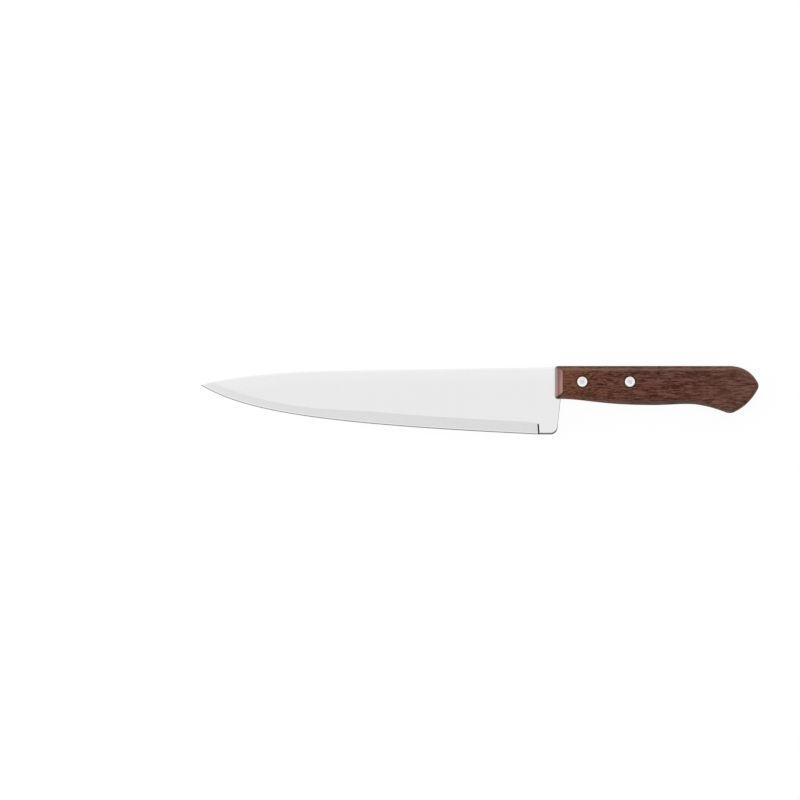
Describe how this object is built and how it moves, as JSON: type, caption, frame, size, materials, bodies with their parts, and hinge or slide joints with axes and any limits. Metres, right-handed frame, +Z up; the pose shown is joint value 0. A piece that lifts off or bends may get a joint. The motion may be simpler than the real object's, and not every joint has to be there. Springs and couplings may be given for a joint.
{
  "type": "kitchen knife",
  "caption": "Kitchen knife with a wide pointed steel blade, a ground edge that stops short of the heel, and a slotted hardwood handle held by flush rivets.",
  "frame": {"origin": "on the surface that the knife lies on, under the middle of its outline", "axes": "+X along the knife from the tip to the butt, +Y from the cutting edge to the spine, +Z up out of the knife's side"},
  "size_m": [0.3198, 0.0392, 0.015],
  "materials": {
    "blade_steel": "fine satin polish",
    "handle_wood": "reddish brown hardwood, sanded and waxed",
    "rivet_aluminium": "sanded flush"
  },
  "bodies": {
    "root": {"blade": "blade_steel", "handle": "handle_wood", "front_rivet_tube": "rivet_aluminium", "front_rivet_pin": "rivet_aluminium", "rear_rivet_tube": "rivet_aluminium", "rear_rivet_pin": "rivet_aluminium"}
  },
  "joints": []
}
